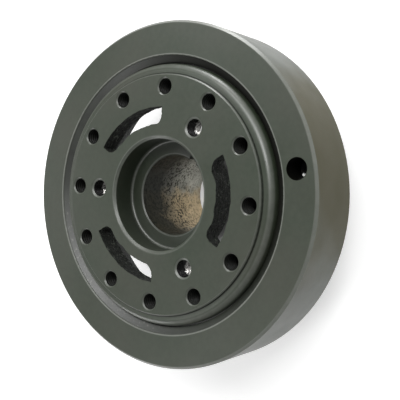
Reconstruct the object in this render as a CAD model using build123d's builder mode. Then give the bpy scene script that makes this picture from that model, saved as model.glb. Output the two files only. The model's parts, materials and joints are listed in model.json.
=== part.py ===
from build123d import *
import os

os.makedirs("parts", exist_ok=True)

# Harmonic balancer in three pieces: a cast hub, an elastomer ring and an inertia ring.
# Millimetres.  Z is the crank axis, up from the nose end at Z = 0 to the pulley face.
# X runs through the keyway and one of the pulley bolt holes.

# Overall sizes
damper_diameter = 171.45
hub_length = 66.0

# Inertia ring
ring_face_setback = 3.0
ring_width = 33.75
ring_wall = 17.0
ring_edge_chamfer = 1.15
ring_bore_chamfer = 0.5
ring_bore_front_round = 0.5
balance_hole_diameter = 10.2
balance_hole_inset = 9.4
balance_hole_angle = -46.2
balance_hole_depth = 14.0

# Elastomer ring
rubber_thickness = 3.9
rubber_front_recess = 0.7
rubber_front_drop = 2.1
rubber_crevice_width = 0.6
rubber_crevice_depth = 1.5
rubber_rear_recess = 1.55

# Hub rim and the raised pulley face
rim_shoulder_width = 5.5
face_step = 1.55
face_step_fillet = 0.6
face_edge_chamfer = 0.5
rim_front_round = 4.2
rim_rear_setback = 0.6
rim_rear_chamfer = 0.6

# Web, with the conical cavity behind it
web_thickness = 12.0
rim_rear_wall = 4.9
cavity_floor_margin = 3.3
cavity_floor_fillet = 3.0

# Crank bore and seal nose
bore_diameter = 40.64
bore_mouth_chamfer = 0.55
bore_exit_chamfer = 1.0
keyway_width = 4.76
keyway_depth = 2.4
nose_wall = 5.08
nose_end_chamfer = 1.5

# Pulley pilot counterbore and the boss round it
pilot_seat_width = 7.45
pilot_depth = 13.4
pilot_chamfer = 1.05
pilot_fillet = 1.1
boss_wall = 4.1
boss_height = 5.8
boss_cone_height = 6.7
boss_fillet = 2.4

# Cast windows through the web
window_count = 3
window_width = 7.7
window_pilot_wall = 7.6
window_arc = 58.6
window_centre_angle = 60.8
window_inner_corner_radius = 3.3
window_outer_corner_radius = 1.0
window_draft = 8.0

# Tapped holes in the pulley face
pulley_bolt_count = 3
pulley_bolt_circle_radius = 38.9
pulley_tap_diameter = 8.5
pulley_countersink_diameter = 9.8
rim_bolt_count = 12
rim_bolt_inset = 6.17
rim_tap_diameter = 7.8
rim_countersink_diameter = 9.1
rim_tap_depth = 13.0
drill_point_slope = 0.6

# Radii and levels that follow from the sizes above
ring_radius = damper_diameter / 2
ring_bore_radius = ring_radius - ring_wall
balance_hole_circle_radius = ring_radius - balance_hole_inset
rim_radius = ring_bore_radius - rubber_thickness
face_radius = rim_radius - rim_shoulder_width
rim_bolt_circle_radius = face_radius - rim_bolt_inset
bore_radius = bore_diameter / 2
nose_radius = bore_radius + nose_wall
pilot_radius = bore_radius + pilot_seat_width
boss_radius = pilot_radius + boss_wall
window_inner_radius = pilot_radius + window_pilot_wall
window_outer_radius = window_inner_radius + window_width
cavity_mouth_radius = rim_radius - rim_rear_wall
cavity_floor_radius = window_outer_radius + cavity_floor_margin

rim_front_z = hub_length - face_step
pilot_floor_z = hub_length - pilot_depth
web_rear_z = hub_length - web_thickness
boss_root_z = web_rear_z - boss_height
nose_root_z = boss_root_z - boss_cone_height
ring_front_z = hub_length - ring_face_setback
ring_rear_z = ring_front_z - ring_width
rim_rear_z = ring_rear_z + rim_rear_setback
rubber_outer_front_z = ring_front_z - rubber_front_recess
rubber_inner_front_z = rubber_outer_front_z - rubber_front_drop
rubber_crevice_z = rubber_inner_front_z - rubber_crevice_depth
rubber_crevice_radius = rim_radius + rubber_crevice_width
rubber_rear_z = ring_rear_z + rubber_rear_recess


def circle_edges(part, radius, z):
    """The part's circular edges of one radius at one level."""
    rings = part.edges().filter_by(GeomType.CIRCLE)
    return rings.filter_by(
        lambda edge: abs(edge.radius - radius) < 0.01 and abs(edge.arc_center.Z - z) < 0.01
    )


# One cast window: a sector of the web between two radii, with rounder inner corners.
with BuildSketch() as window:
    with BuildLine():
        outer = CenterArc((0, 0), window_outer_radius, -window_arc / 2, window_arc)
        inner = CenterArc((0, 0), window_inner_radius, -window_arc / 2, window_arc)
        Line(outer @ 0, inner @ 0)
        Line(outer @ 1, inner @ 1)
    make_face()
    fillet(window.vertices().group_by(SortBy.DISTANCE)[0], window_inner_corner_radius)
    fillet(window.vertices().group_by(SortBy.DISTANCE)[-1], window_outer_corner_radius)

with BuildPart() as hub:
    # Rim and web as one disc, with its front edge rounded over
    with BuildSketch(Plane.XY.offset(rim_rear_z)):
        Circle(rim_radius)
    extrude(amount=rim_front_z - rim_rear_z)
    fillet(circle_edges(hub, rim_radius, rim_front_z), rim_front_round)
    chamfer(circle_edges(hub, rim_radius, rim_rear_z), rim_rear_chamfer)

    # Raised pulley face
    with BuildSketch(Plane.XY.offset(rim_front_z)):
        Circle(face_radius)
    extrude(amount=face_step)
    fillet(circle_edges(hub, face_radius, rim_front_z), face_step_fillet)
    chamfer(circle_edges(hub, face_radius, hub_length), face_edge_chamfer)

    # Conical cavity behind the web
    with BuildSketch(Plane.XZ):
        with BuildLine():
            Polyline(
                (0, rim_rear_z),
                (cavity_mouth_radius, rim_rear_z),
                (cavity_floor_radius, web_rear_z),
                (0, web_rear_z),
                close=True,
            )
        make_face()
    revolve(axis=Axis.Z, mode=Mode.SUBTRACT)
    fillet(circle_edges(hub, cavity_floor_radius, web_rear_z), cavity_floor_fillet)

    # Seal nose, widening to the boss that carries the web
    with BuildSketch(Plane.XZ):
        with BuildLine():
            Polyline(
                (0, 0),
                (nose_radius, 0),
                (nose_radius, nose_root_z),
                (boss_radius, boss_root_z),
                (boss_radius, web_rear_z),
                (0, web_rear_z),
                close=True,
            )
        make_face()
    revolve(axis=Axis.Z)
    fillet(circle_edges(hub, boss_radius, web_rear_z), boss_fillet)
    fillet(circle_edges(hub, nose_radius, nose_root_z), boss_fillet)
    chamfer(circle_edges(hub, nose_radius, 0), nose_end_chamfer)

    # Crank bore with the pulley pilot sunk into the face
    with Locations((0, 0, hub_length)):
        CounterBoreHole(bore_radius, pilot_radius, pilot_depth)
    chamfer(circle_edges(hub, pilot_radius, hub_length), pilot_chamfer)
    fillet(circle_edges(hub, pilot_radius, pilot_floor_z), pilot_fillet)
    chamfer(circle_edges(hub, bore_radius, pilot_floor_z), bore_mouth_chamfer)
    chamfer(circle_edges(hub, bore_radius, 0), bore_exit_chamfer)

    # Keyway along the whole bore
    with BuildSketch():
        Rectangle(bore_radius + keyway_depth, keyway_width, align=(Align.MIN, Align.CENTER))
    extrude(amount=pilot_floor_z, mode=Mode.SUBTRACT)

    # Cast windows, opening out towards the back
    with BuildSketch(Plane.XY.offset(hub_length)):
        with PolarLocations(0, window_count, start_angle=window_centre_angle):
            add(window.sketch)
    extrude(amount=-web_thickness - boss_fillet, taper=-window_draft, mode=Mode.SUBTRACT)

    # Pulley bolt holes, tapped right through the web
    with Locations((0, 0, hub_length)):
        with PolarLocations(pulley_bolt_circle_radius, pulley_bolt_count):
            CounterSinkHole(
                pulley_tap_diameter / 2,
                pulley_countersink_diameter / 2,
                depth=web_thickness + boss_fillet,
                counter_sink_angle=90,
            )

    # Blind tapped holes round the rim, each with the drill's point below its thread
    with Locations((0, 0, hub_length)):
        with PolarLocations(rim_bolt_circle_radius, rim_bolt_count):
            CounterSinkHole(
                rim_tap_diameter / 2,
                rim_countersink_diameter / 2,
                depth=rim_tap_depth,
                counter_sink_angle=90,
            )
    with Locations((0, 0, hub_length - rim_tap_depth)):
        with PolarLocations(rim_bolt_circle_radius, rim_bolt_count):
            Cone(
                rim_tap_diameter / 2,
                0,
                rim_tap_diameter / 2 * drill_point_slope,
                rotation=(180, 0, 0),
                align=(Align.CENTER, Align.CENTER, Align.MIN),
                mode=Mode.SUBTRACT,
            )

with BuildPart() as inertia_ring:
    with BuildSketch(Plane.XY.offset(ring_rear_z)):
        Circle(ring_radius)
        Circle(ring_bore_radius, mode=Mode.SUBTRACT)
    extrude(amount=ring_width)
    chamfer(circle_edges(inertia_ring, ring_radius, ring_front_z), ring_edge_chamfer)
    chamfer(circle_edges(inertia_ring, ring_radius, ring_rear_z), ring_edge_chamfer)
    chamfer(circle_edges(inertia_ring, ring_bore_radius, ring_rear_z), ring_bore_chamfer)
    fillet(circle_edges(inertia_ring, ring_bore_radius, ring_front_z), ring_bore_front_round)

    # Blind balance hole drilled in the front face
    with Locations((0, 0, ring_front_z)):
        with PolarLocations(balance_hole_circle_radius, 1, start_angle=balance_hole_angle):
            Hole(balance_hole_diameter / 2, depth=balance_hole_depth)
    with Locations((0, 0, ring_front_z - balance_hole_depth)):
        with PolarLocations(balance_hole_circle_radius, 1, start_angle=balance_hole_angle):
            Cone(
                balance_hole_diameter / 2,
                0,
                balance_hole_diameter / 2 * drill_point_slope,
                rotation=(180, 0, 0),
                align=(Align.CENTER, Align.CENTER, Align.MIN),
                mode=Mode.SUBTRACT,
            )

# The elastomer fills the gap between rim and ring.  Its front dips towards the hub
# and ends in a narrow crevice against the rim.
with BuildPart() as elastomer_ring:
    with BuildSketch(Plane.XZ):
        with BuildLine():
            Polyline(
                (rim_radius, rubber_rear_z),
                (ring_bore_radius, rubber_rear_z),
                (ring_bore_radius, rubber_outer_front_z),
                (rubber_crevice_radius, rubber_inner_front_z),
                (rubber_crevice_radius, rubber_crevice_z),
                (rim_radius, rubber_crevice_z),
                close=True,
            )
        make_face()
    revolve(axis=Axis.Z)

hub.part.label = "hub"
export_step(hub.part, "parts/hub.step")

elastomer_ring.part.label = "elastomer_ring"
export_step(elastomer_ring.part, "parts/elastomer_ring.step")

inertia_ring.part.label = "inertia_ring"
export_step(inertia_ring.part, "parts/inertia_ring.step")
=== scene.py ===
"""Harmonic balancer: looks for the hub, the elastomer band and the inertia ring."""

import json
import math

import bpy
import mathutils
from bpy.props import FloatProperty, FloatVectorProperty, PointerProperty
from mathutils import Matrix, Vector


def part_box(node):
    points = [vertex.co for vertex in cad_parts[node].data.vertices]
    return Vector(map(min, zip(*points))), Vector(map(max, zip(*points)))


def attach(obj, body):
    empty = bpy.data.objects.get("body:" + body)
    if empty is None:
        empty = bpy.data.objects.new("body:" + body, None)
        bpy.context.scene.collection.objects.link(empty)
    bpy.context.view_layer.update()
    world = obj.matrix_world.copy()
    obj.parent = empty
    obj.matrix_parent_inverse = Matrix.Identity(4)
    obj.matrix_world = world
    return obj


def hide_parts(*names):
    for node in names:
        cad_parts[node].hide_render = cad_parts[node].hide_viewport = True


bl_info = {
    "name": "Harmonic Balancer",
    "version": (1, 0, 0),
    "blender": (4, 5, 0),
    "location": "View3D > Sidebar > Balancer",
    "description": "Finishes a crankshaft vibration damper: threads, cast windows and coating",
    "category": "Object",
}

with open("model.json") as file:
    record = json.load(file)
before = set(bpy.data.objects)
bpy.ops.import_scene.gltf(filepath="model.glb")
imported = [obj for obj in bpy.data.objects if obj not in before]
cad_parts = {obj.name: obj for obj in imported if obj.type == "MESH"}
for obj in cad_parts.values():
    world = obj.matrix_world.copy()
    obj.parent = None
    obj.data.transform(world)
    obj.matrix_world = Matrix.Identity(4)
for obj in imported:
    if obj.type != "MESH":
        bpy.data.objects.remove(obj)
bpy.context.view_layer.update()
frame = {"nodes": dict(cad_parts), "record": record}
MOUNTS = {mount["name"]: mount for mount in frame["record"]["mounts"]}
MM = 0.001
FACE_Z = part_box("hub")[1][2]
RING_FRONT_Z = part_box("inertia_ring")[1][2]
RING_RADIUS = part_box("inertia_ring")[1][0]
BORE_RADIUS = MOUNTS["crank_bore"]["dims"]["r_mm"] * MM
PILOT_FLOOR_Z = MOUNTS["washer_seat"]["pos_m"][2]
PULLEY_HOLES = MOUNTS["pulley_bolts"]["dims"]
RIM_HOLES = MOUNTS["rim_bolts"]["dims"]
RIM_CIRCLE = RIM_HOLES["pcd_mm"] * MM / 2
PULLEY_CIRCLE = PULLEY_HOLES["pcd_mm"] * MM / 2
PILOT_RADIUS = MOUNTS["pulley_pilot"]["dims"]["r_mm"] * MM
RUBBER_THICKNESS = 0.0039
RIM_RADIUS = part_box("elastomer_ring")[1][0] - RUBBER_THICKNESS
FACE_RADIUS = 0.059325
WEB_THICKNESS = 0.012
CAVITY_FLOOR_Z = FACE_Z - WEB_THICKNESS
PULLEY_MOUTH_RADIUS = 0.0049

# The solid's own windows at the face: inner and outer wall, and what the plugs add
WINDOW_RADII = (0.03537, 0.04307)
PLUG_MARGINS = (0.0024, 0.0021)
PLUG_EXTRA_ARC = math.radians(8)

# The balance hole: circle radius, angle, radius, top; and a bright metal spot near its bottom, a
# painted glint
BALANCE_HOLE = (0.076325, math.radians(-46.2), 0.0051, RING_FRONT_Z)
POCKET_GLINT_SPOT = (0.0484, -0.0531, 0.0480)
GLINT_SPOT_REACH = 0.0013

# How near a hole's axis its threads lie, and where each thread starts below the face
THREAD_REACH = 0.0048
RIM_THREAD_START = 0.0014
PULLEY_THREAD_START = 0.0012

# How far the colour is lightened along the listed edges: coating worn through, and painted
# highlight
HUB_EDGE_WEAR_AND_HIGHLIGHT = 0.1
RING_EDGE_WEAR_AND_HIGHLIGHT = 0.26

SMOOTH_BELOW = math.radians(28)

# Where the cavity behind the web shows through the windows
CAVITY_HEIGHTS = (0.026, 0.050)
CAVITY_RADIUS = 0.060

# Colours of painted shade (behind the web and inside the balance hole), and of the painted dark
# brown reflection on the ring's far side
PAINTED_SHADE_COLOUR = (0.006, 0.006, 0.005)
FAR_SIDE_PAINTED_REFLECTION = (0.034, 0.031, 0.009)
FAR_SIDE_REFLECTION_TINT = (0.34, 0.32, 0.17)

# Directions round the axis, from the keyway
BORE_REFLECTION_SIDE = math.radians(160)
FLECK_SIDE = math.radians(170)
FAR_SIDE = math.radians(-45)
SHADED_SIDE = math.radians(-20)


# ---------------------------------------------------------------- settings


class BalancerCasting(bpy.types.PropertyGroup):
    """Sizes of the cast windows and the tapped holes."""

    window_arc: FloatProperty(
        name="Window Arc",
        description="Angle that each cast window spans",
        default=math.radians(59.6),
        subtype="ANGLE",
    )
    window_centre: FloatProperty(
        name="Window Centre",
        description="Angle from the keyway to the middle of the first window",
        default=math.radians(60.8),
        subtype="ANGLE",
    )
    window_inner_radius: FloatProperty(
        name="Window Inner Radius",
        description="Radius of the window's inner wall at the face",
        default=0.0351,
        unit="LENGTH",
    )
    window_outer_radius: FloatProperty(
        name="Window Outer Radius",
        description="Radius of the window's outer wall at the face",
        default=0.04335,
        unit="LENGTH",
    )
    window_depth: FloatProperty(
        name="Window Depth",
        description="Depth of the window, from the face to the back of the web",
        default=0.0152,
        unit="LENGTH",
    )
    window_draft: FloatProperty(
        name="Window Draft",
        description="Taper of the window walls",
        default=math.radians(8),
        subtype="ANGLE",
    )
    cast_waviness: FloatProperty(
        name="Cast Waviness",
        description="Slow wander of the cast walls",
        default=0.0007,
        unit="LENGTH",
    )
    cast_grain: FloatProperty(
        name="Cast Grain",
        description="Height of the sand grain on the cast walls",
        default=0.0006,
        unit="LENGTH",
    )
    rim_thread_pitch: FloatProperty(
        name="Rim Thread Pitch",
        description="Pitch of the threads in the twelve rim holes",
        default=0.0015875,
        unit="LENGTH",
    )
    pulley_thread_pitch: FloatProperty(
        name="Pulley Thread Pitch",
        description="Pitch of the threads in the three pulley bolt holes",
        default=0.0010583,
        unit="LENGTH",
    )
    pulley_mouth_radius: FloatProperty(
        name="Pulley Mouth Radius",
        description="Radius of the countersinks of the three pulley bolt holes",
        default=0.0053,
        unit="LENGTH",
    )
    thread_major_radius: FloatProperty(
        name="Thread Major Radius",
        description="Radius at the root of the cut threads",
        default=0.0047,
        unit="LENGTH",
    )


class BalancerFinish(bpy.types.PropertyGroup):
    """Colours of the coating, the rubber and the painted reflection in the bore."""

    coating: FloatVectorProperty(
        name="Coating",
        description="Colour of the protective coating",
        subtype="COLOR",
        size=3,
        default=(0.030, 0.037, 0.025),
        min=0,
        max=1,
    )
    coating_roughness: FloatProperty(
        name="Coating Roughness",
        description="How matte the coating is",
        default=0.4,
        min=0,
        max=1,
        subtype="FACTOR",
    )
    cast_skin: FloatVectorProperty(
        name="Cast Skin",
        description="Colour of the rough cast window walls",
        subtype="COLOR",
        size=3,
        default=(0.015, 0.017, 0.014),
        min=0,
        max=1,
    )
    # Painted reflection: the warm tan laid down one side of the bore.
    bore_reflection_tan: FloatVectorProperty(
        name="Bore Reflection Tan",
        description="Colour of the painted reflection down one side of the bore",
        subtype="COLOR",
        size=3,
        default=(0.62, 0.5, 0.32),
        min=0,
        max=1,
    )
    cut_metal: FloatVectorProperty(
        name="Cut Metal",
        description="Colour of the freshly tapped threads",
        subtype="COLOR",
        size=3,
        default=(0.5, 0.49, 0.47),
        min=0,
        max=1,
    )


class BalancerStage(bpy.types.PropertyGroup):
    """The floor, the lights and the camera."""

    floor_colour: FloatVectorProperty(
        name="Floor Colour",
        description="Colour of the pale floor",
        subtype="COLOR",
        size=3,
        default=(0.9, 0.9, 0.9),
        min=0,
        max=1,
    )
    floor_glow: FloatProperty(
        name="Floor Glow",
        description="Light that the lit table gives off",
        default=0.4,
        min=0,
    )
    lens: FloatProperty(
        name="Lens",
        description="Focal length of the camera, in millimetres",
        default=63.575,
        min=10,
    )


# ---------------------------------------------------------------- materials


class Finish:
    """A node material under construction: its Principled shader and a few short node calls."""

    def __init__(self, name):
        self.mat = bpy.data.materials.new(name)
        self.mat.use_nodes = True
        self.nodes = self.mat.node_tree.nodes
        self.links = self.mat.node_tree.links
        self.nodes.clear()
        self.shader = self.nodes.new("ShaderNodeBsdfPrincipled")
        output = self.nodes.new("ShaderNodeOutputMaterial")
        self.links.new(self.shader.outputs["BSDF"], output.inputs["Surface"])
        self.place = self.nodes.new("ShaderNodeTexCoord").outputs["Object"]

    def feed(self, socket, value):
        if isinstance(value, bpy.types.NodeSocket):
            self.links.new(value, socket)
        else:
            socket.default_value = value

    def math(self, operation, *values):
        node = self.nodes.new("ShaderNodeMath")
        node.operation = operation
        for socket, value in zip(node.inputs, values):
            self.feed(socket, value)
        return node.outputs[0]

    def both(self, first, second):
        """The share that two masks have in common."""
        return self.math("MULTIPLY", first, second)

    def span(self, value, low, high, to_low=0.0, to_high=1.0):
        """Takes low..high to to_low..to_high, and clamps outside it."""
        node = self.nodes.new("ShaderNodeMapRange")
        for name, number in zip(
            ("Value", "From Min", "From Max", "To Min", "To Max"),
            (value, low, high, to_low, to_high),
        ):
            self.feed(node.inputs[name], number)
        return node.outputs["Result"]

    def noise(self, scale, detail=2.0, where=None, roughness=0.5):
        node = self.nodes.new("ShaderNodeTexNoise")
        node.inputs["Scale"].default_value = scale
        node.inputs["Detail"].default_value = detail
        node.inputs["Roughness"].default_value = roughness
        self.links.new(where or self.place, node.inputs["Vector"])
        return node.outputs["Fac"]

    def tint(self, factor, first, second):
        """Mixes two colours, each a socket or three numbers."""
        node = self.nodes.new("ShaderNodeMix")
        node.data_type = "RGBA"
        self.feed(node.inputs["Factor"], factor)
        for socket, colour in ((node.inputs["A"], first), (node.inputs["B"], second)):
            if not isinstance(colour, bpy.types.NodeSocket):
                colour = (*colour, 1.0)
            self.feed(socket, colour)
        return node.outputs["Result"]

    def radius(self):
        """Distance from the crank axis."""
        flat = self.nodes.new("ShaderNodeVectorMath")
        flat.operation = "MULTIPLY"
        flat.inputs[1].default_value = (1, 1, 0)
        self.links.new(self.place, flat.inputs[0])
        length = self.nodes.new("ShaderNodeVectorMath")
        length.operation = "LENGTH"
        self.links.new(flat.outputs["Vector"], length.inputs[0])
        return length.outputs["Value"]

    def height(self):
        """Height along the crank axis."""
        split = self.nodes.new("ShaderNodeSeparateXYZ")
        self.links.new(self.place, split.inputs["Vector"])
        return split.outputs["Z"]

    def turned(self, stretch):
        """Coordinates drawn out round the axis, for marks that a lathe leaves."""
        angle = self.nodes.new("ShaderNodeVectorMath")
        angle.operation = "NORMALIZE"
        self.links.new(self.place, angle.inputs[0])
        split = self.nodes.new("ShaderNodeSeparateXYZ")
        self.links.new(angle.outputs["Vector"], split.inputs["Vector"])
        join = self.nodes.new("ShaderNodeCombineXYZ")
        self.links.new(self.math("MULTIPLY", split.outputs["X"], stretch), join.inputs["X"])
        self.links.new(self.math("MULTIPLY", split.outputs["Y"], stretch), join.inputs["Y"])
        depth = self.math("ADD", self.radius(), self.height())
        self.links.new(depth, join.inputs["Z"])
        return join.outputs["Vector"]

    def facing(self, angle):
        """Cosine of the angle round the axis from the given direction."""
        toward = self.nodes.new("ShaderNodeVectorMath")
        toward.operation = "DOT_PRODUCT"
        toward.inputs[1].default_value = (math.cos(angle), math.sin(angle), 0)
        self.links.new(self.place, toward.inputs[0])
        return self.math("DIVIDE", toward.outputs["Value"], self.radius())

    def inside_of(self, circle_radius, angle, reach, top):
        """One inside an upright drilled hole of radius reach, below its mouth."""
        axis = (circle_radius * math.cos(angle), circle_radius * math.sin(angle), 0)
        flat = self.nodes.new("ShaderNodeVectorMath")
        flat.operation = "MULTIPLY"
        flat.inputs[1].default_value = (1, 1, 0)
        self.links.new(self.place, flat.inputs[0])
        away = self.nodes.new("ShaderNodeVectorMath")
        away.operation = "DISTANCE"
        away.inputs[1].default_value = axis
        self.links.new(flat.outputs["Vector"], away.inputs[0])
        within = self.span(away.outputs["Value"], reach, reach + 0.00005, 1.0, 0.0)
        below = self.span(self.height(), top - 0.0003, top - 0.0001, 1.0, 0.0)
        return self.both(within, below)

    def near_point(self, point, reach):
        """One within about this distance of a point."""
        away = self.nodes.new("ShaderNodeVectorMath")
        away.operation = "DISTANCE"
        away.inputs[1].default_value = point
        self.links.new(self.place, away.inputs[0])
        return self.span(away.outputs["Value"], 0.6 * reach, reach, 1.0, 0.0)

    def near(self, value, centre, width):
        """One on the centre, falling to nothing at the width."""
        off = self.math("ABSOLUTE", self.math("SUBTRACT", value, centre))
        return self.span(off, 0.0, width, 1.0, 0.0)

    def bump(self, height, distance, strength=1.0):
        node = self.nodes.new("ShaderNodeBump")
        node.inputs["Distance"].default_value = distance
        node.inputs["Strength"].default_value = strength
        self.links.new(height, node.inputs["Height"])
        self.links.new(node.outputs["Normal"], self.shader.inputs["Normal"])

    def give(self, socket, value):
        self.feed(self.shader.inputs[socket], value)


def coating_colour(skin, base, cloudy):
    """The coating's own colour, clouded and finely mottled."""
    mottled = skin.span(skin.noise(420.0, 3.0), 0.35, 0.65)
    colour = skin.tint(
        cloudy,
        (base[0] * 0.78, base[1] * 0.92, base[2] * 0.8),
        (base[0] * 1.2, base[1] * 1.08, base[2] * 1.12),
    )
    return skin.tint(skin.math("MULTIPLY", mottled, 0.3), colour, tuple(1.5 * c for c in base))


def in_counterbore(skin, radius, height):
    """One on the wall and floor of the pilot counterbore."""
    return skin.both(
        skin.span(radius, PILOT_RADIUS, PILOT_RADIUS + 0.0002, 1.0, 0.0),
        skin.span(height, FACE_Z - 0.0016, FACE_Z - 0.0012, 1.0, 0.0),
    )


def behind_web(skin, radius, height):
    """One on what lies in the cavity behind the web."""
    low, high = CAVITY_HEIGHTS
    return skin.both(
        skin.span(height, high, high + 0.0005, 1.0, 0.0),
        skin.both(
            skin.span(height, low, low + 0.003),
            skin.span(radius, CAVITY_RADIUS, CAVITY_RADIUS + 0.001, 1.0, 0.0),
        ),
    )


def in_step_corner(skin, radius, height):
    """One in the corner at the foot of the raised face."""
    corner = skin.both(
        skin.near(radius, FACE_RADIUS + 0.0003, 0.0005),
        skin.near(height, FACE_Z - 0.0013, 0.0005),
    )
    return skin.span(corner, 0.0, 0.5, 0.0, 0.7)


def along_edges(skin, radius, height, edges):
    """One along each edge given as a radius, its reach, a height and its reach."""
    edge_wear_and_highlight = 0.0
    for edge_radius, radius_reach, edge_height, height_reach in edges:
        edge = skin.both(
            skin.near(radius, edge_radius, radius_reach),
            skin.near(height, edge_height, height_reach),
        )
        edge_wear_and_highlight = skin.math("MAXIMUM", edge_wear_and_highlight, skin.span(edge, 0.0, 0.3))
    return edge_wear_and_highlight


def on_far_side(skin, radius, height, cloudy, turn, start_radius):
    """One on a turned outer surface where it faces the given way, with a cloudy border."""
    facing = skin.math("ADD", skin.facing(turn), skin.span(cloudy, 0.0, 1.0, -0.12, 0.12))
    return skin.both(
        skin.span(facing, 0.76, 0.99),
        skin.both(
            skin.span(radius, start_radius - 0.0006, start_radius - 0.0004),
            skin.span(height, RING_FRONT_Z - 0.0013, RING_FRONT_Z - 0.0011, 1.0, 0.0),
        ),
    )


def coated_iron(finish, name, wear_and_highlight_edges, wear_and_highlight_level, far_side=None, pocket=None):
    """Satin grey-green coating over machined iron.

    It is lightened by the given share along the given edges, as worn coating and as painted
    highlight; it has a painted dark brown reflection round the far side of a turned piece,
    painted shade inside a drilled pocket, in the counterbore, behind the web and in the corner
    at the foot of the raised face.
    """
    skin = Finish(name)
    cloudy = skin.span(skin.noise(22.0, 4.0), 0.3, 0.7)
    radius, height = skin.radius(), skin.height()
    colour = coating_colour(skin, tuple(finish.coating), cloudy)
    # Painted shade: the counterbore's wall and floor are darkened towards near-black.
    painted_counterbore_shade = in_counterbore(skin, radius, height)
    colour = skin.tint(skin.math("MULTIPLY", painted_counterbore_shade, 0.3), colour, (0.004, 0.005, 0.004))
    # Painted shade: what shows of the cavity behind the web is darkened to near-black, with its
    # sheen lowered.
    behind = behind_web(skin, radius, height)
    colour = skin.tint(behind, colour, PAINTED_SHADE_COLOUR)
    # Painted highlight and wear: the colour is lightened along these edges, standing in for edge
    # highlights as well as worn coating.
    edge_wear_and_highlight = along_edges(skin, radius, height, wear_and_highlight_edges)
    chips = skin.span(skin.noise(330.0, 5.0), 0.46, 0.6)
    edge_wear_and_highlight_tint = skin.math("MULTIPLY", edge_wear_and_highlight, skin.math("MULTIPLY_ADD", chips, 0.04, wear_and_highlight_level))
    colour = skin.tint(edge_wear_and_highlight_tint, colour, (0.3, 0.31, 0.28))
    shine = skin.tint(edge_wear_and_highlight, (0.5, 0.5, 0.5), (1.0, 1.0, 1.0))
    shine = skin.tint(behind, shine, (0.15, 0.15, 0.15))
    # Painted shade: the corner at the foot of the raised face is darkened and its sheen lowered.
    corner = in_step_corner(skin, radius, height)
    colour = skin.tint(corner, colour, (0.003, 0.003, 0.003))
    shine = skin.tint(corner, shine, (0.05, 0.05, 0.05))
    if far_side:
        # Painted reflection: the ring's far side is painted dark brown, its sheen dulled and its
        # reflections tinted warm.
        painted_far_reflection = on_far_side(skin, radius, height, cloudy, *far_side)
        colour = skin.tint(painted_far_reflection, colour, FAR_SIDE_PAINTED_REFLECTION)
        shine = skin.tint(skin.math("MULTIPLY", painted_far_reflection, 0.6), shine, (0.05, 0.05, 0.05))
        skin.give("Specular Tint", skin.tint(painted_far_reflection, (1.0, 1.0, 1.0), FAR_SIDE_REFLECTION_TINT))
    if pocket:
        # Painted shade: the balance hole's inside is darkened to near-black, with little sheen.
        inside = skin.inside_of(*pocket)
        colour = skin.tint(inside, colour, PAINTED_SHADE_COLOUR)
        shine = skin.tint(inside, shine, (0.12, 0.12, 0.12))
        # Painted glint: a near-white metal spot where a glint shows at the hole's bottom.
        glint_spot = skin.near_point(POCKET_GLINT_SPOT, GLINT_SPOT_REACH)
        colour = skin.tint(glint_spot, colour, (0.9, 0.9, 0.88))
        skin.give("Metallic", glint_spot)
    skin.give("Base Color", colour)
    rough = finish.coating_roughness
    skin.give("Roughness", skin.span(skin.noise(60.0, 3.0), 0.3, 0.7, rough - 0.04, rough + 0.04))
    skin.give("Specular IOR Level", shine)
    marks = skin.noise(9000.0, 2.0, skin.turned(0.0012))
    peel = skin.noise(1500.0, 2.0)
    skin.bump(skin.math("ADD", marks, peel), 0.00001, 0.5)
    return skin.mat


def cast_wall(finish):
    """As-cast iron: dark, open and gritty."""
    skin = Finish("cast_iron_skin")
    grit = skin.noise(900.0, 5.0, roughness=0.7)
    base = tuple(finish.cast_skin)
    colour = skin.tint(
        skin.span(grit, 0.35, 0.7),
        tuple(0.2 * c for c in base),
        tuple(2.2 * c for c in base),
    )
    # Painted glints: random specks of lighter colour on the cast skin.
    glint = skin.span(skin.noise(560.0, 4.0), 0.58, 0.68)
    skin.give("Base Color", skin.tint(glint, colour, tuple(6.0 * c for c in base)))
    skin.give("Roughness", skin.span(grit, 0.3, 0.7, 0.85, 0.65))
    skin.give("Specular IOR Level", 0.22)
    skin.bump(grit, 0.0005, 1.0)
    return skin.mat


def bare_bore(finish):
    """Uncoated bore: grey and pitted, with painted shade darkening it towards its mouth and a
    painted tan reflection down one side.
    """
    skin = Finish("bare_bore_iron")
    tan = tuple(finish.bore_reflection_tan)
    height = skin.height()
    cloud = skin.span(skin.noise(95.0, 5.0), 0.3, 0.7)
    wander = skin.span(skin.noise(160.0, 4.0), 0.2, 0.8, -0.16, 0.16)
    # Painted reflection: a warm tan laid down one side of the bore.
    side = skin.math("ADD", skin.facing(BORE_REFLECTION_SIDE), wander)
    painted_reflection_mask = skin.span(side, 0.64, 0.9)
    grey = skin.tint(cloud, (0.28, 0.285, 0.25), (0.62, 0.62, 0.56))
    reflection_colour = skin.tint(cloud, tuple(0.75 * c for c in tan), tuple(1.25 * c for c in tan))
    colour = skin.tint(painted_reflection_mask, grey, reflection_colour)
    speckle = skin.noise(760.0, 4.0, roughness=0.65)
    pit = skin.span(speckle, 0.5, 0.57)
    middle = skin.span(height, 0.008, 0.024, 0.35, 0.95)
    colour = skin.tint(skin.math("MULTIPLY", pit, middle), colour, (0.03, 0.028, 0.02))
    # Painted shade: the bore darkens towards its mouth.
    drift = skin.math("ADD", height, skin.span(cloud, 0.0, 1.0, -0.005, 0.005))
    painted_mouth_shade = skin.span(drift, 0.021, 0.038)
    colour = skin.tint(skin.math("MULTIPLY", painted_mouth_shade, 0.96), colour, (0.009, 0.012, 0.008))
    skin.give("Base Color", colour)
    skin.give("Metallic", skin.span(painted_mouth_shade, 0.0, 1.0, 0.65, 0.0))
    skin.give("Roughness", skin.span(speckle, 0.35, 0.65, 0.38, 0.6))
    skin.give("Specular IOR Level", 0.35)
    skin.bump(speckle, 0.0002, 0.5)
    return skin.mat


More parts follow.
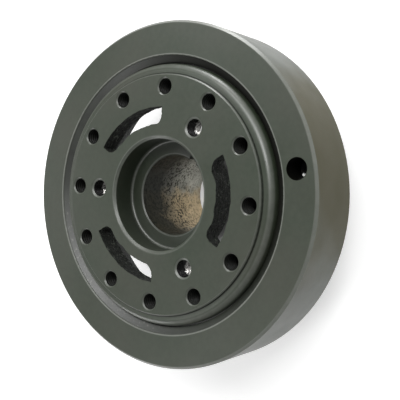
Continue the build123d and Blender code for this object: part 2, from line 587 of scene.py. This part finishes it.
def cut_thread(finish):
    """Tapped metal: painted shade, near-black, at the front of the hole, bright and dulled in
    spots below.
    """
    skin = Finish("cut_thread_metal")
    dull = skin.span(skin.noise(900.0, 3.0), 0.4, 0.6)
    bright = tuple(finish.cut_metal)
    metal = skin.tint(dull, bright, tuple(0.25 * c for c in bright))
    depth = skin.math("ADD", skin.height(), skin.span(dull, 0.0, 1.0, -0.0005, 0.0005))
    bare = skin.span(depth, FACE_Z - 0.0080, FACE_Z - 0.0068, 1.0, 0.0)
    # Painted shade: the threads near the face are near-black; below them is bare metal.
    skin.give("Base Color", skin.tint(bare, (0.004, 0.004, 0.004), metal))
    skin.give("Metallic", bare)
    skin.give("Specular IOR Level", 0.1)
    skin.give("Roughness", skin.span(dull, 0.0, 1.0, 0.25, 0.45))
    return skin.mat


def blind_thread(finish):
    """Threads of the blind holes, painted near-black as shade inside the holes."""
    skin = Finish("shaded_thread")
    cloud = skin.span(skin.noise(700.0, 3.0), 0.35, 0.65)
    skin.give("Base Color", skin.tint(cloud, (0.004, 0.005, 0.004), (0.014, 0.015, 0.012)))
    skin.give("Roughness", skin.span(cloud, 0.0, 1.0, 0.4, 0.6))
    skin.give("Specular IOR Level", 0.16)
    skin.bump(cloud, 0.00004, 0.5)
    return skin.mat


def band_rubber(finish):
    """Elastomer band, overcoated with the hub's coating, with flecks along its lip."""
    skin = Finish("overcoated_rubber")
    base = tuple(finish.coating)
    cloud = skin.span(skin.noise(90.0, 4.0), 0.3, 0.7)
    colour = skin.tint(cloud, tuple(0.3 * c for c in base), tuple(0.6 * c for c in base))
    fleck = skin.span(skin.noise(520.0, 5.0), 0.6, 0.68)
    flecked = skin.span(skin.facing(FLECK_SIDE), 0.6, 0.95)
    fleck = skin.math("MULTIPLY", fleck, flecked)
    colour = skin.tint(skin.math("MULTIPLY", fleck, 0.3), colour, (0.3, 0.3, 0.27))
    # Painted shade: the band is darkened, and its sheen lowered, on the side facing SHADED_SIDE.
    shaded = skin.span(skin.facing(SHADED_SIDE), 0.2, 0.9)
    colour = skin.tint(shaded, colour, (0.005, 0.005, 0.004))
    rear = skin.span(skin.height(), 0.036, 0.05, 1.0, 0.0)
    colour = skin.tint(rear, colour, (0.018, 0.018, 0.018))
    skin.give("Base Color", colour)
    skin.give("Specular IOR Level", skin.span(shaded, 0.0, 1.0, 0.9, 0.25))
    skin.give("Roughness", skin.span(cloud, 0.0, 1.0, 0.36, 0.44))
    skin.bump(skin.noise(1100.0, 3.0), 0.00003, 0.5)
    return skin.mat


# ---------------------------------------------------------------- modelling


def select_only(obj):
    """Leaves one object selected and active."""
    bpy.ops.object.select_all(action="DESELECT")
    obj.select_set(True)
    bpy.context.view_layer.objects.active = obj


def edit_all(obj):
    """Opens edit mode with the whole mesh selected."""
    select_only(obj)
    bpy.ops.object.mode_set(mode="EDIT")
    bpy.ops.mesh.select_all(action="SELECT")


def finish_edit():
    bpy.ops.object.mode_set(mode="OBJECT")


def apply_modifier(obj, kind, **settings):
    """Adds a modifier with these settings and applies it."""
    select_only(obj)
    modifier = obj.modifiers.new(kind.lower(), kind)
    for name, value in settings.items():
        setattr(modifier, name, value)
    bpy.ops.object.modifier_apply(modifier=modifier.name)


def merged_copy(node_name, name):
    """A copy of a CAD node with its triangles joined up, to be worked on."""
    node = frame["nodes"][node_name]
    piece = bpy.data.objects.new(name, node.data.copy())
    bpy.context.scene.collection.objects.link(piece)
    piece.data.name = name
    edit_all(piece)
    bpy.ops.mesh.customdata_custom_splitnormals_clear()
    bpy.ops.mesh.remove_doubles(threshold=0.000002)
    finish_edit()
    return piece


def wear_only(obj, mat):
    """Gives a piece one material."""
    obj.data.materials.clear()
    obj.data.materials.append(mat)


def displace(obj, name, grain_size, strength, depth):
    """Pushes a surface in and out along its normals by a cloudy texture."""
    clouds = bpy.data.textures.new(name, "CLOUDS")
    clouds.noise_scale = grain_size
    clouds.noise_depth = depth
    apply_modifier(
        obj,
        "DISPLACE",
        texture=clouds,
        texture_coords="LOCAL",
        strength=strength,
        mid_level=0.5,
    )


def pick(obj, kind, wanted):
    """Opens edit mode with just the vertices or edges whose places pass the test."""
    mesh = obj.data
    for part in (*mesh.vertices, *mesh.edges, *mesh.polygons):
        part.select = False
    if kind == "VERT":
        for vertex in mesh.vertices:
            vertex.select = wanted(vertex.co)
    else:
        for edge in mesh.edges:
            edge.select = wanted(*(mesh.vertices[i].co for i in edge.vertices))
    select_only(obj)
    bpy.ops.object.mode_set(mode="EDIT")
    bpy.ops.mesh.select_mode(type=kind)


def out_from_axis(place):
    return math.hypot(place.x, place.y)


def angle_of(place):
    return math.atan2(place.y, place.x)


def hole_axes(count, circle_radius):
    """Where the axes of equally spaced holes pass."""
    turns = (2 * math.pi * k / count for k in range(count))
    return [(circle_radius * math.cos(turn), circle_radius * math.sin(turn)) for turn in turns]


def near_any(place, axes, reach):
    return any(math.hypot(place.x - x, place.y - y) < reach for x, y in axes)


def section_block(name, inner, outer, bottom, top, arc, steps):
    """A block of square section, spun round the crank axis and centred on +X."""
    bpy.ops.object.select_all(action="DESELECT")
    middle = ((inner + outer) / 2, 0, (bottom + top) / 2)
    bpy.ops.mesh.primitive_plane_add(size=1, location=middle, rotation=(math.pi / 2, 0, 0))
    block = bpy.context.object
    block.name = name
    block.scale = (outer - inner, top - bottom, 1)
    bpy.ops.object.transform_apply(location=True, rotation=True, scale=True)
    edit_all(block)
    bpy.ops.mesh.spin(steps=steps, angle=-arc, center=(0, 0, 0), axis=(0, 0, 1))
    bpy.ops.mesh.select_all(action="SELECT")
    bpy.ops.mesh.remove_doubles(threshold=1e-6)
    bpy.ops.mesh.normals_make_consistent(inside=False)
    finish_edit()
    turn_all(block, -arc / 2)
    return block


def turn_all(obj, angle):
    """Turns a mesh about the crank axis, against the clock."""
    edit_all(obj)
    bpy.ops.transform.rotate(value=-angle, orient_axis="Z", center_override=(0, 0, 0))
    finish_edit()


def round_corner(core, radius, end, arc, size, segments):
    """Bevels the upright edge of a core at one end of one wall."""

    def at_corner(first, second):
        upright = abs(first.z - second.z) > 0.005
        on_wall = abs(out_from_axis(first) - radius) < 0.0025
        return upright and on_wall and abs(angle_of(first) - end * arc / 2) < math.radians(1)

    pick(core, "EDGE", at_corner)
    bpy.ops.mesh.bevel(offset=size, segments=segments, profile=0.5, affect="EDGES")
    finish_edit()


def draw_wall(core, wanted, shift, reach):
    """Pulls the picked part of a wall outwards or inwards, and what is near it by less."""
    pick(core, "VERT", wanted)
    chosen = [vertex.co.copy() for vertex in core.data.vertices if vertex.select]
    centre = sum(chosen, mathutils.Vector()) / len(chosen)
    way = mathutils.Vector((centre.x, centre.y, 0)).normalized() * shift
    bpy.ops.transform.translate(
        value=way,
        use_proportional_edit=True,
        proportional_edit_falloff="SMOOTH",
        proportional_size=reach,
    )
    finish_edit()


# What the foundry left in each window, in millimetres: the four corner rounds (inner and
# outer wall at the far end, then at the near end), then where the inner wall wanders
# (degrees from the window's middle) and how far.
CORES = (
    (
        (4.8, 1.8, 3.5, 2.0),
        ((19, -0.5), (15, 0.8), (11, -0.4), (7, 0.5), (-1, 0.2), (-16, 0.8), (-22, -0.4)),
    ),
    ((5.0, 1.7, 4.0, 0.9), ((18, -0.2), (-6, -0.3), (-18, 0.2))),
    ((5.2, 1.2, 3.4, 1.0), ((14, -0.3), (2, 0.2), (-12, -0.2))),
)


def window_core(casting, turn, corners, wanders, mat):
    """The sand core of one window, with round corners, draft and a rough skin."""
    inner, outer = casting.window_inner_radius, casting.window_outer_radius
    arc = casting.window_arc
    bottom = FACE_Z - casting.window_depth
    core = section_block("window_core", inner, outer, bottom, FACE_Z + 0.001, arc, 6)
    far_inner, far_outer, near_inner, near_outer = (size * MM for size in corners)
    spread = casting.window_depth * math.tan(casting.window_draft)
    for radius, way in ((inner, -1), (outer, 1)):
        pick(
            core,
            "VERT",
            lambda place: place.z < bottom + 0.001 and abs(out_from_axis(place) - radius) < 0.001,
        )
        grow = (radius + way * spread) / radius
        bpy.ops.transform.resize(value=(grow, grow, 1), center_override=(0, 0, bottom))
        finish_edit()
    for end in (1, -1):
        pick(
            core,
            "VERT",
            lambda place: place.z < bottom + 0.001
            and abs(angle_of(place) - end * arc / 2) < math.radians(1),
        )
        slide = mathutils.Vector((-math.sin(end * arc / 2), math.cos(end * arc / 2), 0))
        bpy.ops.transform.translate(value=slide * spread * end)
        finish_edit()
    round_corner(core, inner, 1, arc, far_inner, 4)
    round_corner(core, outer, 1, arc, far_outer, 3)
    round_corner(core, inner, -1, arc, near_inner, 6)
    round_corner(core, outer, -1, arc, near_outer, 3)
    edit_all(core)
    bpy.ops.mesh.subdivide(number_cuts=3)
    finish_edit()
    for angle, shift in wanders:
        angle = math.radians(angle)
        draw_wall(
            core,
            lambda place: abs(angle_of(place) - angle) < math.radians(1.4)
            and out_from_axis(place) < inner + 0.0005,
            shift * MM,
            0.005,
        )
    turn_all(core, turn)
    apply_modifier(core, "REMESH", mode="VOXEL", voxel_size=0.0005)
    displace(core, "core_waviness", 0.007, casting.cast_waviness, 1)
    displace(core, "core_grain", 0.0013, casting.cast_grain, 3)
    wear_only(core, mat)
    return core


def fill_window(hub, turn, arc):
    """Closes one regular window, so that a rougher one can be cast in its place."""
    inner, outer = WINDOW_RADII[0] - PLUG_MARGINS[0], WINDOW_RADII[1] + PLUG_MARGINS[1]
    low, high = CAVITY_FLOOR_Z + 0.0001, FACE_Z - 0.00002
    plug = section_block("window_plug", inner, outer, low, high, arc, 12)
    turn_all(plug, turn)
    wear_only(plug, hub.data.materials[0])
    combine(hub, plug, "UNION")


def widen_mouths(hub, count, circle_radius, mouth_radius):
    """Opens the countersinks of a ring of holes out to this radius at the face."""
    for x, y in hole_axes(count, circle_radius):
        pick(
            hub,
            "VERT",
            lambda place: place.z > FACE_Z - 0.00001
            and math.hypot(place.x - x, place.y - y) < PULLEY_MOUTH_RADIUS + 0.0001,
        )
        grow = mouth_radius / PULLEY_MOUTH_RADIUS
        bpy.ops.transform.resize(value=(grow, grow, 1), center_override=(x, y, FACE_Z))
        finish_edit()


def thread_coil(root_radius, tap_radius, pitch, turns, mat):
    """A coil with a vee section, which cuts one thread when taken from a hole's wall."""
    bpy.ops.object.select_all(action="DESELECT")
    base = tap_radius - 0.00025
    across = (root_radius - base) / 1.5
    bpy.ops.mesh.primitive_circle_add(
        vertices=3,
        radius=1,
        location=(root_radius - across, 0, 0),
        rotation=(math.pi / 2, math.pi / 2, 0),
    )
    coil = bpy.context.object
    coil.name = "thread_coil"
    coil.scale = (0.47 * pitch / math.sin(math.pi / 3), across, 1)
    bpy.ops.object.transform_apply(location=True, rotation=True, scale=True)
    apply_modifier(
        coil,
        "SCREW",
        angle=2 * math.pi,
        screw_offset=-pitch,
        iterations=turns,
        steps=26,
        render_steps=26,
        use_merge_vertices=False,
        use_normal_calculate=True,
    )
    edit_all(coil)
    bpy.ops.mesh.remove_doubles(threshold=1e-7)
    bpy.ops.mesh.fill_holes(sides=0)
    bpy.ops.mesh.select_all(action="SELECT")
    bpy.ops.mesh.normals_make_consistent(inside=False)
    finish_edit()
    wear_only(coil, mat)
    return coil


def ring_of(piece, count, circle_radius, z):
    """One object of equal copies of a piece, spaced round the axis."""
    copies = []
    for x, y in hole_axes(count, circle_radius):
        copy = bpy.data.objects.new(piece.name, piece.data.copy())
        bpy.context.scene.collection.objects.link(copy)
        copy.data.transform(mathutils.Matrix.Translation((x, y, z)))
        copies.append(copy)
    bpy.data.objects.remove(piece)
    bpy.ops.object.select_all(action="DESELECT")
    for copy in copies:
        copy.select_set(True)
    bpy.context.view_layer.objects.active = copies[0]
    bpy.ops.object.join()
    return copies[0]


def combine(piece, other, operation):
    """Joins or cuts with another mesh, which leaves its finish on the new walls."""
    apply_modifier(
        piece,
        "BOOLEAN",
        object=other,
        operation=operation,
        solver="EXACT",
        use_self=False,
        material_mode="TRANSFER",
    )
    bpy.data.objects.remove(other)


def cut(piece, cutter):
    combine(piece, cutter, "DIFFERENCE")


# ---------------------------------------------------------------- operators


class BALANCER_OT_cast_hub(bpy.types.Operator):
    """Cast the hub with its rough windows, cut its threads and finish its surfaces"""

    bl_idname = "balancer.cast_hub"
    bl_label = "Cast Hub"

    def execute(self, context):
        casting = context.scene.balancer_casting
        finish = context.scene.balancer_finish
        hub = merged_copy("hub", "hub_casting")
        # Edges whose colour is lightened: worn coating, and painted highlight on the rounds and
        # chamfers.
        edges = (
            (FACE_RADIUS, 0.2, FACE_Z - 0.0006, 0.0006),
            (FACE_RADIUS, 0.0008, FACE_Z - 0.0003, 0.0007),
            (RIM_RADIUS - 0.0012, 0.0018, FACE_Z - 0.0026, 0.0018),
            (PILOT_RADIUS + 0.0006, 0.0012, FACE_Z - 0.0006, 0.0012),
            (BORE_RADIUS + 0.0003, 0.0007, PILOT_FLOOR_Z - 0.0003, 0.0008),
            (PILOT_RADIUS - 0.0004, 0.0010, PILOT_FLOOR_Z + 0.0005, 0.0010),
        )
        wear_only(hub, coated_iron(finish, "hub_coating", edges, HUB_EDGE_WEAR_AND_HIGHLIGHT))
        root = casting.thread_major_radius
        shaded_thread_finish = blind_thread(finish)
        pitch = casting.rim_thread_pitch
        coil = thread_coil(root, RIM_HOLES["hole_r_mm"] * MM, pitch, 6, shaded_thread_finish)
        cut(hub, ring_of(coil, RIM_HOLES["count"], RIM_CIRCLE, FACE_Z - RIM_THREAD_START))
        pitch = casting.pulley_thread_pitch
        bright = cut_thread(finish)
        coil = thread_coil(root, PULLEY_HOLES["hole_r_mm"] * MM, pitch, 11, bright)
        start = FACE_Z - PULLEY_THREAD_START
        cut(hub, ring_of(coil, PULLEY_HOLES["count"], PULLEY_CIRCLE, start))
        wall = cast_wall(finish)
        for k, (corners, wanders) in enumerate(CORES):
            turn = casting.window_centre - (k + 1) * 2 * math.pi / 3
            fill_window(hub, turn, casting.window_arc + PLUG_EXTRA_ARC)
            cut(hub, window_core(casting, turn, corners, wanders, wall))
        widen_mouths(hub, PULLEY_HOLES["count"], PULLEY_CIRCLE, casting.pulley_mouth_radius)
        self.finish_bore(hub, finish)
        select_only(hub)
        bpy.ops.object.shade_smooth_by_angle(angle=SMOOTH_BELOW)
        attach(hub, "root")
        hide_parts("hub")
        return {"FINISHED"}

    def finish_bore(self, hub, finish):
        """Leaves the bore bare, gives holes their threads' finish and the back a cast skin."""
        hub.data.materials.append(bare_bore(finish))
        slots = {mat.name: k for k, mat in enumerate(hub.data.materials)}
        rim_axes = hole_axes(RIM_HOLES["count"], RIM_CIRCLE)
        pulley_axes = hole_axes(PULLEY_HOLES["count"], PULLEY_CIRCLE)
        for face in hub.data.polygons:
            centre = face.center
            radius = out_from_axis(centre)
            if radius < BORE_RADIUS + 0.0025 and 0.0012 < centre.z < PILOT_FLOOR_Z - 0.0010:
                face.material_index = slots["bare_bore_iron"]
            elif CAVITY_FLOOR_Z - 0.0003 < centre.z < FACE_Z - 0.0009:
                # The rim holes' threads take the near-black painted shade.
                if near_any(centre, rim_axes, THREAD_REACH):
                    face.material_index = slots["shaded_thread"]
                elif near_any(centre, pulley_axes, THREAD_REACH):
                    face.material_index = slots["cut_thread_metal"]
            # The cavity behind the web gets the dark cast skin: as-cast iron, and darkened there
            # also as painted shade.
            elif 0.031 < centre.z < CAVITY_FLOOR_Z + 0.0005:
                inner = 0.0262 if centre.z < 0.050 else PILOT_RADIUS + 0.001
                if inner < radius < 0.0605:
                    face.material_index = slots["cast_iron_skin"]


class BALANCER_OT_turn_inertia_ring(bpy.types.Operator):
    """Finish the turned inertia ring"""

    bl_idname = "balancer.turn_inertia_ring"
    bl_label = "Turn Inertia Ring"

    def execute(self, context):
        finish = context.scene.balancer_finish
        # Edges whose colour is lightened: worn coating, and painted highlight on the chamfer and
        # the bore's round.
        edges = (
            (RING_RADIUS - 0.0006, 0.0010, RING_FRONT_Z - 0.0006, 0.0010),
            (RIM_RADIUS + 0.0041, 0.0008, RING_FRONT_Z - 0.0003, 0.0008),
        )
        far_side = (FAR_SIDE, RING_RADIUS)
        mat = coated_iron(finish, "ring_coating", edges, RING_EDGE_WEAR_AND_HIGHLIGHT, far_side, BALANCE_HOLE)
        wear_only(frame["nodes"]["inertia_ring"], mat)
        return {"FINISHED"}


class BALANCER_OT_bond_elastomer(bpy.types.Operator):
    """Finish the elastomer band between the hub and the ring"""

    bl_idname = "balancer.bond_elastomer"
    bl_label = "Bond Elastomer"

    def execute(self, context):
        finish = context.scene.balancer_finish
        wear_only(frame["nodes"]["elastomer_ring"], band_rubber(finish))
        return {"FINISHED"}


# Lights: name, angle round the face, lift above the face plane, distance, size, power, colour
LIGHTS = (
    ("softbox_upper_right", 45, 52, 1.2, 0.45, 6.65, (1, 1, 1)),
    ("softbox_top", 90, 52, 1.2, 0.45, 4.2, (1, 1, 1)),
    ("softbox_top_low", 90, 5, 1.2, 0.45, 8.4, (1, 1, 1)),
    ("softbox_upper_left", 135, 52, 1.2, 0.45, 2.95, (1, 1, 1)),
    ("softbox_left", 180, 28, 1.2, 0.45, 1.33, (1, 1, 1)),
    ("softbox_lower_left", 225, 52, 1.2, 0.45, 2.2, (1, 1, 1)),
    ("softbox_lower_left_low", 225, 5, 1.2, 0.45, 2.5, (1, 1, 1)),
)
WORLD_LIGHT = 0.342
FIRST_HOLE_TURN = -54.674


class BALANCER_OT_stage(bpy.types.Operator):
    """Set up the floor, the lights and the camera"""

    bl_idname = "balancer.stage"
    bl_label = "Stage"

    def execute(self, context):
        stage = context.scene.balancer_stage
        context.scene.view_settings.view_transform = "Standard"
        bpy.ops.object.select_all(action="DESELECT")
        bpy.ops.mesh.primitive_plane_add(size=6.0, location=(0, 0, 0))
        floor = context.object
        floor.name = "floor"
        paper = Finish("floor_paper")
        paper.give("Base Color", (*stage.floor_colour, 1))
        paper.give("Roughness", 0.9)
        paper.give("Emission Color", (1, 1, 1, 1))
        paper.give("Emission Strength", stage.floor_glow)
        wear_only(floor, paper.mat)
        self.set_camera(context, stage.lens)
        studio = bpy.data.worlds.new("studio")
        studio.use_nodes = True
        sky = studio.node_tree.nodes["Background"]
        sky.inputs["Color"].default_value = (1, 1, 1, 1)
        sky.inputs["Strength"].default_value = WORLD_LIGHT
        context.scene.world = studio
        for settings in LIGHTS:
            self.add_light(context, *settings)
        return {"FINISHED"}

    def set_camera(self, context, lens):
        """Places the camera by its direction from the face, in rim hole circles."""
        place = mathutils.Vector((4.13451, -0.00580, 5.06118)) * RIM_CIRCLE
        right = mathutils.Vector((0.81183, 0.0, -0.58389))
        up = mathutils.Vector((-0.00374, 0.99998, -0.00520))
        back = mathutils.Vector((0.58388, 0.00640, 0.81181))
        axes = mathutils.Matrix((right, up, back)).transposed().to_4x4()
        data = bpy.data.cameras.new("camera")
        data.lens = lens
        data.sensor_width = 36
        data.clip_start = 0.01
        camera = bpy.data.objects.new("camera", data)
        context.scene.collection.objects.link(camera)
        turn = mathutils.Matrix.Rotation(math.radians(FIRST_HOLE_TURN), 4, "Z")
        lift = mathutils.Matrix.Translation((0, 0, FACE_Z))
        camera.matrix_world = lift @ turn @ mathutils.Matrix.Translation(place) @ axes
        context.scene.camera = camera

    def add_light(self, context, name, around, lift, distance, size, power, colour):
        """A square soft light that looks at the middle of the face."""
        around, lift = math.radians(around + FIRST_HOLE_TURN), math.radians(lift)
        ray = mathutils.Vector(
            (math.cos(around) * math.cos(lift), math.sin(around) * math.cos(lift), math.sin(lift))
        )
        data = bpy.data.lights.new(name, "AREA")
        data.shape = "SQUARE"
        data.size = size
        data.energy = power
        data.color = colour
        lamp = bpy.data.objects.new(name, data)
        lamp.location = mathutils.Vector((0, 0, FACE_Z)) + ray * distance
        lamp.rotation_euler = ray.to_track_quat("Z", "Y").to_euler()
        context.scene.collection.objects.link(lamp)


class VIEW3D_PT_balancer(bpy.types.Panel):
    """Settings and build steps of the balancer"""

    bl_label = "Harmonic Balancer"
    bl_space_type = "VIEW_3D"
    bl_region_type = "UI"
    bl_category = "Balancer"

    def draw(self, context):
        scene = context.scene
        for group in (scene.balancer_casting, scene.balancer_finish, scene.balancer_stage):
            box = self.layout.box()
            for name in group.__annotations__:
                box.prop(group, name)
        for step in STEPS:
            self.layout.operator(step.bl_idname)


GROUPS = (BalancerCasting, BalancerFinish, BalancerStage)
STEPS = (
    BALANCER_OT_cast_hub,
    BALANCER_OT_turn_inertia_ring,
    BALANCER_OT_bond_elastomer,
    BALANCER_OT_stage,
)
CLASSES = (*GROUPS, *STEPS, VIEW3D_PT_balancer)


def register():
    for cls in CLASSES:
        bpy.utils.register_class(cls)
    bpy.types.Scene.balancer_casting = PointerProperty(type=BalancerCasting)
    bpy.types.Scene.balancer_finish = PointerProperty(type=BalancerFinish)
    bpy.types.Scene.balancer_stage = PointerProperty(type=BalancerStage)


def unregister():
    del bpy.types.Scene.balancer_stage
    del bpy.types.Scene.balancer_finish
    del bpy.types.Scene.balancer_casting
    for cls in reversed(CLASSES):
        bpy.utils.unregister_class(cls)


def main():
    register()
    bpy.ops.balancer.cast_hub()
    bpy.ops.balancer.turn_inertia_ring()
    bpy.ops.balancer.bond_elastomer()
    bpy.ops.balancer.stage()


if __name__ == "__main__":
    main()
